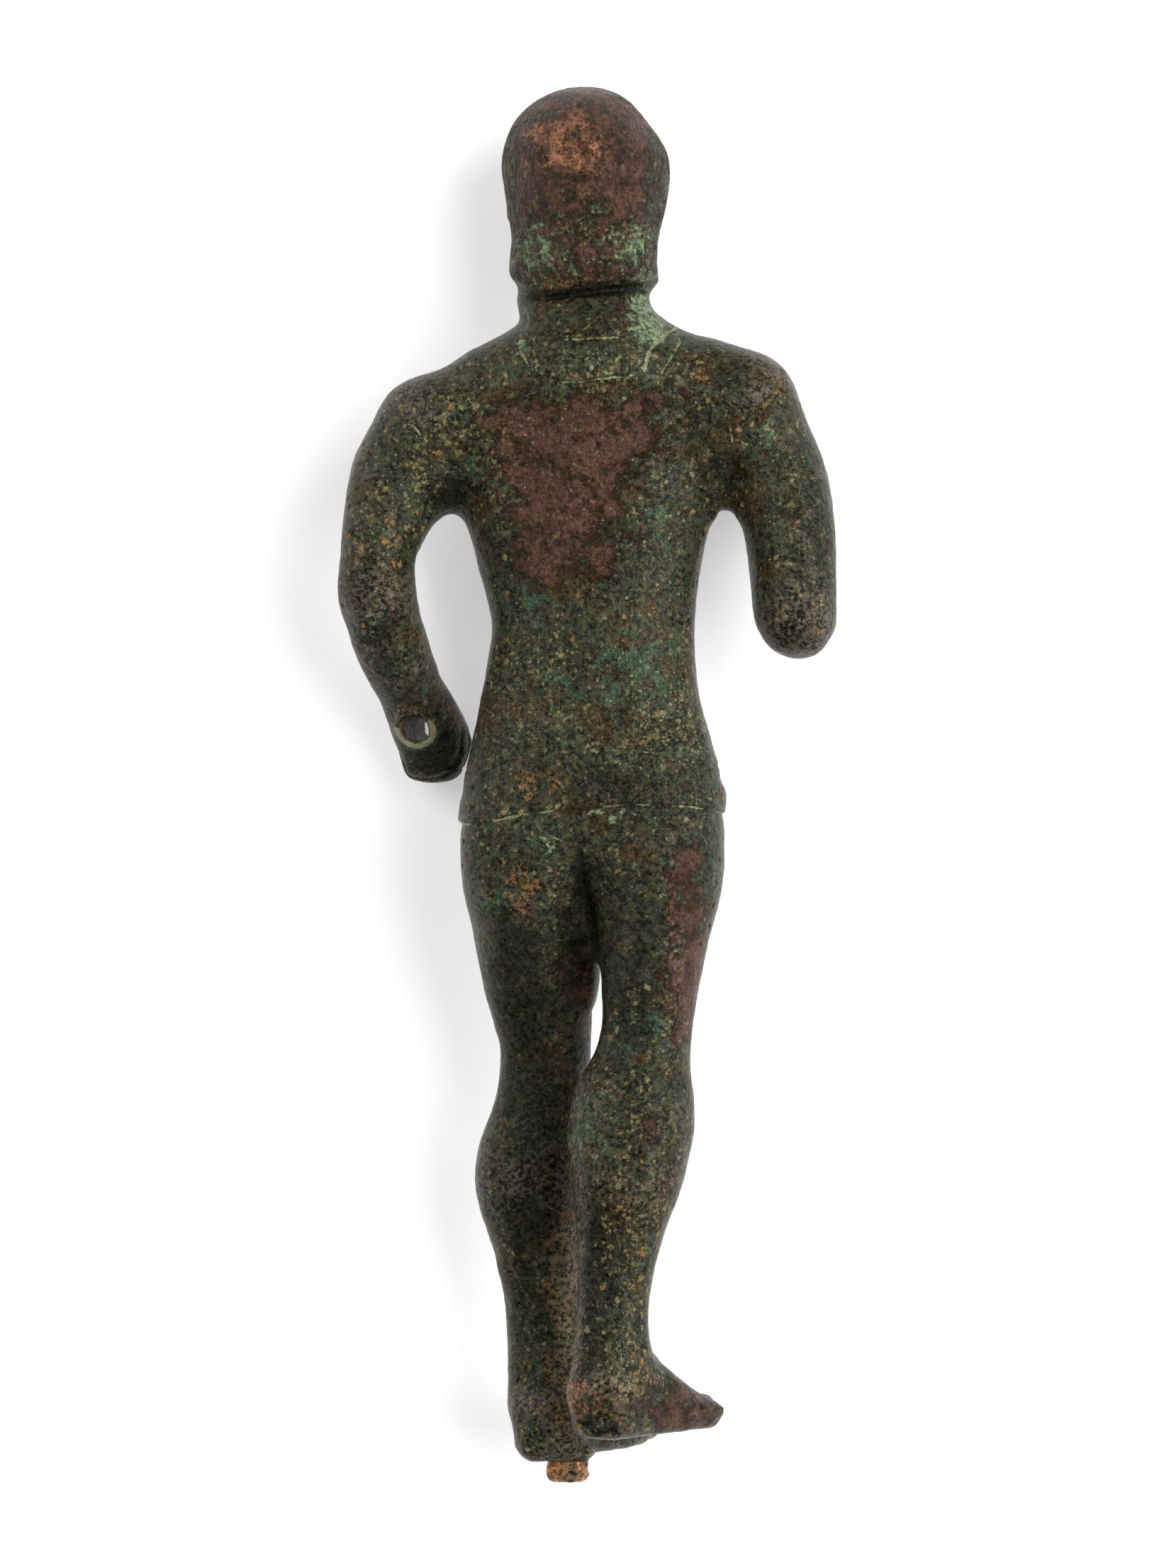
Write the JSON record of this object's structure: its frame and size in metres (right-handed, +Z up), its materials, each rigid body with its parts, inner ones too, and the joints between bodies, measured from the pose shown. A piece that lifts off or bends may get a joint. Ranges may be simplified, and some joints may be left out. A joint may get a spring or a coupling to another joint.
{
  "type": "statuette",
  "caption": "Cast bronze votive statuette of a striding youth in a short close-fitting corselet, lying face down, with a pierced left fist and a casting tang under the left heel.",
  "frame": {"origin": "bottom centre of the bounding box, on the surface that the statuette lies on", "axes": "+Z up out of the figure's back, +Y from its feet to its crown, +X towards its own right hand"},
  "size_m": [0.0704, 0.1976, 0.0398],
  "materials": {
    "bronze": "satin"
  },
  "bodies": {
    "root": {"figure": "bronze"}
  },
  "joints": []
}
